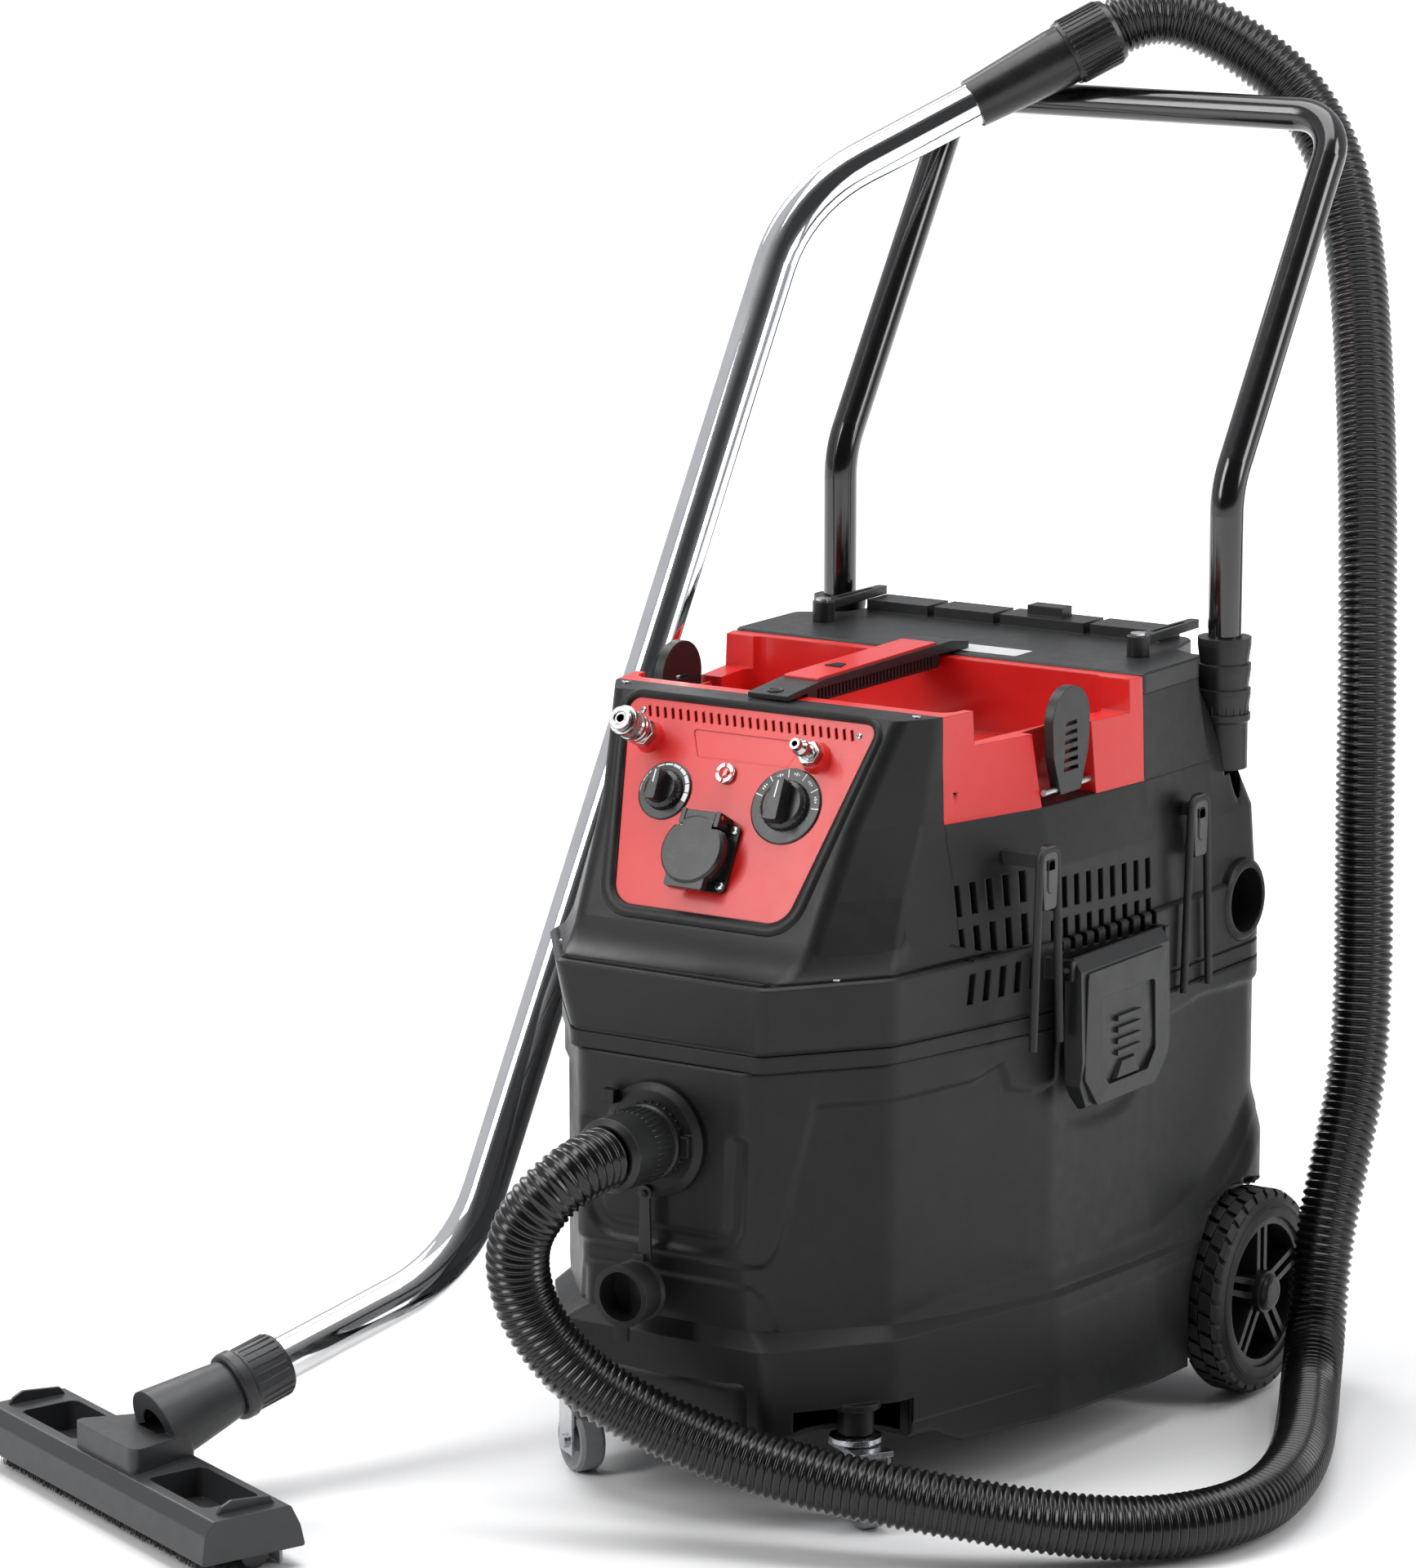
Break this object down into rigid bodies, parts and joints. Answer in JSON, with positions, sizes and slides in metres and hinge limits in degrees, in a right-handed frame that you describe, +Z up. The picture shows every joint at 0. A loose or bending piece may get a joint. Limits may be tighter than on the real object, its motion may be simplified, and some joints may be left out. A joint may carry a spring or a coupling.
{
  "type": "shop vacuum",
  "caption": "Wheeled wet and dry shop vacuum with push handle, tool tray, control panel, corrugated hose, bent chrome wand and floor tool.",
  "frame": {"origin": "bottom centre of the whole object without its hose, on the floor plane", "axes": "+Z up, the control panel faces -Y, +X points out of the exhaust port"},
  "size_m": [0.9406, 1.1449, 1.1055],
  "materials": {
    "black_plastic": "fine moulded grain",
    "dark_plastic": "satin moulded",
    "grey_plastic": "satin moulded",
    "red_plastic": "semi-gloss moulded",
    "gloss_black": "gloss paint",
    "chrome": "polished",
    "zinc": "zinc plated",
    "steel": "bright",
    "brass": "bright",
    "rubber": "soft",
    "tyre": "treaded",
    "grey_tyre": "smooth grey",
    "hose_plastic": "gloss corrugated",
    "lens_red": "clear red",
    "filter_paper": "pleated paper",
    "aluminium": "cast",
    "bristle": "nylon bristles",
    "squeegee_rubber": "translucent grey"
  },
  "bodies": {
    "tank": {"tank_shell": "black_plastic", "tank_seal": "rubber", "rear_axle": "steel", "inlet_flange": "black_plastic", "hose_inlet_cuff": "dark_plastic", "hose": "hose_plastic"},
    "cap": {"inlet_cap": "rubber"},
    "rear_wheel_left": {"wheel_rim_left": "black_plastic", "wheel_tyre_left": "tyre"},
    "rear_wheel_right": {"wheel_rim_right": "black_plastic", "wheel_tyre_right": "tyre"},
    "caster_left": {"caster_fork_left": "zinc"},
    "caster_roll_left": {"caster_wheel_left": "grey_tyre"},
    "caster_right": {"caster_fork_right": "zinc"},
    "caster_roll_right": {"caster_wheel_right": "grey_tyre"},
    "latch_left": {"latch_left": "dark_plastic"},
    "latch_right": {"latch_right": "dark_plastic"},
    "clip_left": {"toolbox_clip_left": "dark_plastic"},
    "clip_right": {"toolbox_clip_right": "dark_plastic"},
    "cam_left": {"cam_lever_left": "dark_plastic"},
    "cam_right": {"cam_lever_right": "dark_plastic"},
    "push_handle": {"push_handle": "gloss_black"},
    "power_knob": {"power_knob": "dark_plastic"},
    "mode_knob": {"mode_knob": "dark_plastic"},
    "socket_lid": {"socket_lid": "dark_plastic"},
    "air_sleeve": {"air_coupler_sleeve": "chrome"},
    "rotor": {"motor_rotor": "steel", "fan_impeller": "aluminium"},
    "float": {"float_ball": "red_plastic"},
    "floor_tool": {"floor_tool": "grey_plastic", "brush_strip": "bristle", "squeegee": "squeegee_rubber"},
    "rollers": {"tool_rollers": "grey_plastic"},
    "head": {"air_coupler": "chrome", "air_plug": "chrome", "carry_handle": "dark_plastic", "carry_handle_cover": "red_plastic", "control_electrics": "dark_plastic", "control_panel": "red_plastic", "exhaust_port": "black_plastic", "filter_cartridge": "filter_paper", "float_cage": "dark_plastic", "front_frame": "black_plastic", "handle_sleeves": "black_plastic", "head_fasteners": "steel", "head_shell": "black_plastic", "hose_coupler": "dark_plastic", "indicator_lamp": "lens_red", "knob_dials": "dark_plastic", "motor_bearings": "steel", "motor_can": "steel", "motor_plate": "black_plastic", "rear_deck": "dark_plastic", "rear_housing": "black_plastic", "socket_body": "dark_plastic", "socket_brass": "brass", "tool_straps": "rubber", "tool_tray": "red_plastic", "wand_collar": "grey_plastic", "wand_tube": "chrome"}
  },
  "joints": [
    {"name": "head_lift", "type": "slide", "parent": "tank", "child": "head", "axis": [0, 0, 1], "range_m": [0, 0.22], "deforming": ["hose"]},
    {"name": "cap_swing", "type": "hinge", "parent": "tank", "child": "cap", "pos_m": [0.12946, -0.21545, 0.251], "axis": [0, 1, 0], "range_deg": [-35, 35]},
    {"name": "rear_wheel_left_spin", "type": "hinge", "parent": "tank", "child": "rear_wheel_left", "pos_m": [-0.07154, 0.32455, 0.083], "axis": [1, 0, 0], "continuous": true},
    {"name": "rear_wheel_right_spin", "type": "hinge", "parent": "tank", "child": "rear_wheel_right", "pos_m": [0.35046, 0.32455, 0.083], "axis": [1, 0, 0], "continuous": true},
    {"name": "caster_swivel_left", "type": "hinge", "parent": "tank", "child": "caster_left", "pos_m": [0.00946, -0.14045, 0.06], "axis": [0, 0, 1], "continuous": true},
    {"name": "caster_spin_left", "type": "hinge", "parent": "caster_left", "child": "caster_roll_left", "pos_m": [0.02646, -0.15095, 0.025], "axis": [0.53, 0.848, 0], "continuous": true},
    {"name": "latch_open_left", "type": "hinge", "parent": "head", "child": "latch_left", "pos_m": [-0.07054, 0.10555, 0.402], "axis": [0, 1, 0], "range_deg": [0, 60]},
    {"name": "clip_open_left", "type": "hinge", "parent": "head", "child": "clip_left", "pos_m": [-0.03854, 0.08255, 0.533], "axis": [0, -1, 0], "range_deg": [0, 10]},
    {"name": "cam_swing_left", "type": "hinge", "parent": "head", "child": "cam_left", "pos_m": [-0.00654, 0.24755, 0.61], "axis": [0, 0, -1], "range_deg": [0, 75]},
    {"name": "caster_swivel_right", "type": "hinge", "parent": "tank", "child": "caster_right", "pos_m": [0.26946, -0.14045, 0.06], "axis": [0, 0, 1], "continuous": true},
    {"name": "caster_spin_right", "type": "hinge", "parent": "caster_right", "child": "caster_roll_right", "pos_m": [0.28646, -0.15095, 0.025], "axis": [0.53, 0.848, 0], "continuous": true},
    {"name": "latch_open_right", "type": "hinge", "parent": "head", "child": "latch_right", "pos_m": [0.34946, 0.10555, 0.402], "axis": [0, -1, 0], "range_deg": [0, 60]},
    {"name": "clip_open_right", "type": "hinge", "parent": "head", "child": "clip_right", "pos_m": [0.31746, 0.08255, 0.533], "axis": [0, 1, 0], "range_deg": [0, 75]},
    {"name": "cam_swing_right", "type": "hinge", "parent": "head", "child": "cam_right", "pos_m": [0.28546, 0.24755, 0.61], "axis": [0, 0, 1], "range_deg": [0, 75]},
    {"name": "handle_slide", "type": "slide", "parent": "head", "child": "push_handle", "axis": [0, 0, 1], "range_m": [-0.095, 0]},
    {"name": "power_turn", "type": "hinge", "parent": "head", "child": "power_knob", "pos_m": [0.08146, -0.11581, 0.53659], "axis": [0, -0.8829, 0.4695], "range_deg": [-240, 30]},
    {"name": "mode_turn", "type": "hinge", "parent": "head", "child": "mode_knob", "pos_m": [0.19046, -0.11581, 0.53659], "axis": [0, -0.8829, 0.4695], "range_deg": [-90, 90]},
    {"name": "socket_lid_open", "type": "hinge", "parent": "head", "child": "socket_lid", "pos_m": [0.13146, -0.13963, 0.52694], "axis": [-1, 0, 0], "range_deg": [0, 110], "stiffness_Nm_per_rad": 0.02, "springref_deg": -20.05},
    {"name": "air_sleeve_pull", "type": "slide", "parent": "head", "child": "air_sleeve", "axis": [0, -0.8829, 0.4695], "range_m": [-0.004, 0], "stiffness_N_per_m": 800, "springref_m": 0.002},
    {"name": "fan_spin", "type": "hinge", "parent": "head", "child": "rotor", "pos_m": [0.13946, 0.07055, 0.44], "axis": [0, 0, 1], "continuous": true},
    {"name": "float_rise", "type": "slide", "parent": "head", "child": "float", "axis": [0, 0, 1], "range_m": [0, 0.11]},
    {"name": "neck_twist", "type": "hinge", "parent": "head", "child": "floor_tool", "pos_m": [-0.15877, -0.35472, 0.08575], "axis": [0.3742, 0.8764, 0.3033], "range_deg": [-12, 12]},
    {"name": "roller_spin", "type": "hinge", "parent": "floor_tool", "child": "rollers", "pos_m": [-0.04545, -0.48012, 0.012], "axis": [0.9171, -0.3987, 0], "continuous": true}
  ]
}
